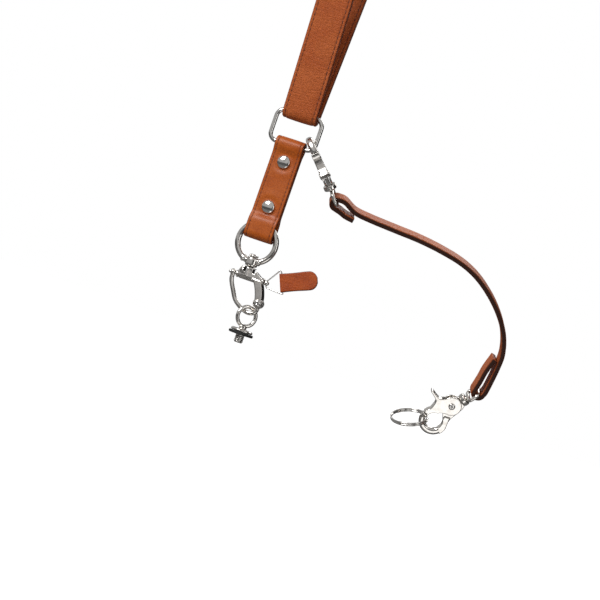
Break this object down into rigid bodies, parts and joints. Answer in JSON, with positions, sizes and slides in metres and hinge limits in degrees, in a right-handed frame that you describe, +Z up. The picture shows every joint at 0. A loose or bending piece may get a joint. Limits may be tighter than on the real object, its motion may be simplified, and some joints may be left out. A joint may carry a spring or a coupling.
{
  "type": "camera neck strap",
  "caption": "Worn leather neck strap for a camera: stitched band, ring, riveted tab, swivel snap shackle with screw eye, and a safety tether with trigger snaps.",
  "frame": {"origin": "highest point of the neck band's inner face, where it lies on the neck, in the middle of the band's width", "axes": "+Z up along the hanging strap, +X across the neck band towards the side of the tether, +Y from the front of the tab to its back"},
  "size_m": [0.1877, 0.1786, 0.7306],
  "materials": {
    "band_leather": "semi-gloss tan leather with dark brown stitching",
    "tab_leather": "semi-gloss cognac leather with dark brown stitching",
    "tether_leather": "tan leather with dark painted edges",
    "pull_leather": "reddish brown leather",
    "polished_metal": "polished nickel plate",
    "pad_rubber": "matt black rubber"
  },
  "bodies": {
    "strap": {"neck_band": "band_leather", "rect_ring": "polished_metal", "ring_tab": "tab_leather", "tab_screw_upper": "polished_metal", "tab_screw_lower": "polished_metal", "bail": "polished_metal", "upper_snap_eye": "polished_metal", "tether": "tether_leather", "lower_snap_eye": "polished_metal"},
    "shackle": {"shackle_body": "polished_metal", "hinge_pin": "polished_metal"},
    "jaw": {"jaw": "polished_metal", "screw_eye": "polished_metal", "eye_pad": "pad_rubber"},
    "plunger": {"plunger": "polished_metal", "pull_wire": "polished_metal", "pull_tab": "pull_leather"},
    "upper_hook": {"upper_snap_hook": "polished_metal", "upper_snap_rivet": "polished_metal"},
    "upper_lever": {"upper_snap_lever": "polished_metal"},
    "lower_hook": {"lower_snap_hook": "polished_metal", "lower_snap_rivet": "polished_metal", "split_ring": "polished_metal"},
    "lower_lever": {"lower_snap_lever": "polished_metal"}
  },
  "joints": [
    {"name": "shackle_swivel", "type": "hinge", "parent": "strap", "child": "shackle", "pos_m": [0.0012, 0, -0.654], "axis": [0, 0, 1], "continuous": true},
    {"name": "jaw_hinge", "type": "hinge", "parent": "shackle", "child": "jaw", "pos_m": [0.015, 0, -0.67918], "axis": [0, -1, 0], "range_deg": [0, 90]},
    {"name": "plunger_slide", "type": "slide", "parent": "shackle", "child": "plunger", "axis": [1, 0, 0], "range_m": [0, 0.006]},
    {"name": "upper_snap_swivel", "type": "hinge", "parent": "strap", "child": "upper_hook", "pos_m": [0.01718, 0.00146, -0.57169], "axis": [0.5559, 0.4727, -0.6838], "range_deg": [-5, 15]},
    {"name": "upper_lever_hinge", "type": "hinge", "parent": "upper_hook", "child": "upper_lever", "pos_m": [0.02688, 0.008, -0.58328], "axis": [0.7201, 0.1372, 0.6802], "range_deg": [0, 25], "stiffness_Nm_per_rad": 0.02, "springref_deg": -17.19},
    {"name": "lower_snap_swivel", "type": "hinge", "parent": "strap", "child": "lower_hook", "pos_m": [0.13417, 0.10107, -0.7159], "axis": [0.6298, -0.0522, 0.775], "continuous": true},
    {"name": "lower_lever_hinge", "type": "hinge", "parent": "lower_hook", "child": "lower_lever", "pos_m": [0.14353, 0.09956, -0.70244], "axis": [-0.3378, 0.88, 0.3338], "range_deg": [0, 25], "stiffness_Nm_per_rad": 0.02, "springref_deg": -17.19}
  ],
  "couplings": [
    {"joint": "plunger_slide", "follows": "jaw_hinge", "m_per_rad": 0.0038}
  ]
}
